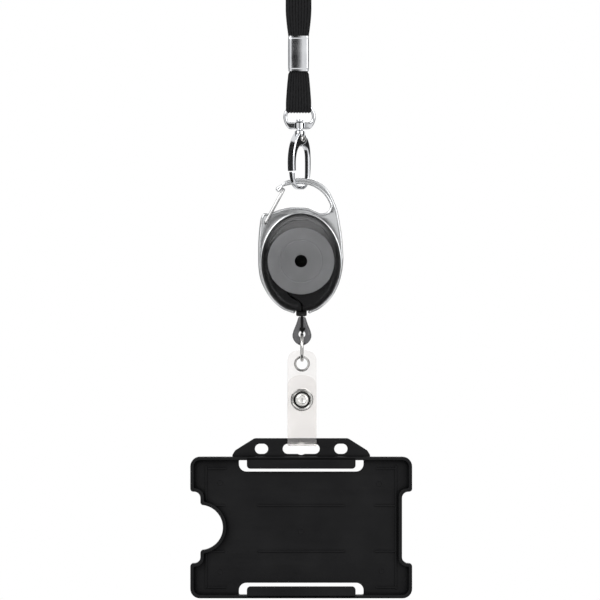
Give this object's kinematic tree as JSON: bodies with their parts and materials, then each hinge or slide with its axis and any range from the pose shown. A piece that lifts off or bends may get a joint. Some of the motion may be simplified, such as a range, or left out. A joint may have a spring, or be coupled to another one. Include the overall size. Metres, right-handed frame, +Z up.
{
  "type": "lanyard badge holder",
  "caption": "Cord lanyard with swivel snap hook, carabiner badge reel, snap strap and rigid open-faced card holder.",
  "frame": {"origin": "top of the gathered cord, where the lanyard hangs over a peg or the hand", "axes": "+X to the right as seen from the front, -Y towards the front face of the reel and holder, +Z up along the hanging line"},
  "size_m": [0.091, 0.0233, 0.4489],
  "materials": {
    "cord": "flat tubular braid, matt",
    "line": "fine braided line, matt",
    "chrome": "polished plating",
    "satin": "satin die-cast",
    "nickel": "nickel plated",
    "spring_steel": "drawn steel",
    "smoke": "clear smoked",
    "grey_plastic": "satin",
    "black_plastic": "semi-matt moulded",
    "vinyl": "clear soft vinyl"
  },
  "bodies": {
    "lanyard": {"lanyard_hank": "cord", "lanyard_strand_front": "cord", "lanyard_strand_back": "cord", "hank_tie": "cord", "crimp_ferrule": "chrome", "lanyard_eye_loop": "cord"},
    "eye": {"swivel_eye": "chrome"},
    "hook": {"swivel_post": "chrome", "hook_body": "chrome", "gate_rivet": "chrome"},
    "hook_gate": {"hook_gate": "chrome", "gate_spring": "spring_steel"},
    "reel": {"carabiner_frame": "satin", "case_front": "smoke", "case_rear": "smoke", "hub_axle": "black_plastic", "power_spring": "spring_steel", "cord_guide": "black_plastic", "cord_lead": "line"},
    "frame_gate": {"frame_wire_gate": "spring_steel"},
    "spool": {"cord_spool": "grey_plastic", "cord_winding": "line"},
    "cord_end": {"pull_cord": "line", "cord_end_fitting": "black_plastic", "cord_knot": "line"},
    "ring": {"link_ring": "nickel"},
    "strap": {"strap_rear_leg": "vinyl", "strap_eyelet": "nickel", "snap_stud": "nickel", "snap_post": "nickel"},
    "strap_flap": {"strap_front_flap": "vinyl", "snap_socket": "nickel", "snap_cap": "nickel"},
    "holder": {"card_holder": "black_plastic"}
  },
  "joints": [
    {"name": "eye_swing", "type": "hinge", "parent": "lanyard", "child": "eye", "pos_m": [-0.0006, 0, -0.24695], "axis": [1, 0, 0], "range_deg": [-40, 40]},
    {"name": "hook_swivel", "type": "hinge", "parent": "eye", "child": "hook", "pos_m": [-0.0005, 0, -0.2568], "axis": [0, 0, 1], "continuous": true},
    {"name": "hook_gate_open", "type": "hinge", "parent": "hook", "child": "hook_gate", "pos_m": [-0.0005, 0, -0.2603], "axis": [0.7071, -0.7071, 0], "range_deg": [0, 12], "stiffness_Nm_per_rad": 0.02, "springref_deg": -28.65},
    {"name": "frame_swing", "type": "hinge", "parent": "hook", "child": "reel", "pos_m": [0, 0, -0.2776], "axis": [1, 0, 0], "range_deg": [-35, 35]},
    {"name": "frame_gate_open", "type": "hinge", "parent": "reel", "child": "frame_gate", "pos_m": [-0.0146, 0, -0.29495], "axis": [0, 1, 0], "range_deg": [0, 22], "stiffness_Nm_per_rad": 0.01, "springref_deg": -28.65},
    {"name": "line_pull", "type": "slide", "parent": "reel", "child": "cord_end", "axis": [0, 0, -1], "range_m": [0, 0.7], "stiffness_N_per_m": 1, "springref_m": -1, "deforming": ["pull_cord"]},
    {"name": "spool_spin", "type": "hinge", "parent": "reel", "child": "spool", "pos_m": [0, 0, -0.31055], "axis": [0, -1, 0], "range_deg": [0, 3830]},
    {"name": "ring_swing", "type": "hinge", "parent": "cord_end", "child": "ring", "pos_m": [0.0004, 0, -0.3407], "axis": [0, 1, 0], "range_deg": [-40, 40]},
    {"name": "strap_swing", "type": "hinge", "parent": "ring", "child": "strap", "pos_m": [0.0004, 0, -0.346], "axis": [1, 0, 0], "range_deg": [-45, 45]},
    {"name": "flap_open", "type": "hinge", "parent": "strap", "child": "strap_flap", "pos_m": [0.0004, -0.00188, -0.3844], "axis": [1, 0, 0], "range_deg": [0, 70]},
    {"name": "holder_swing", "type": "hinge", "parent": "strap", "child": "holder", "pos_m": [0.0001, 0, -0.3844], "axis": [1, 0, 0], "range_deg": [-35, 35]}
  ],
  "couplings": [
    {"joint": "spool_spin", "follows": "line_pull", "rad_per_m": 95.24}
  ]
}
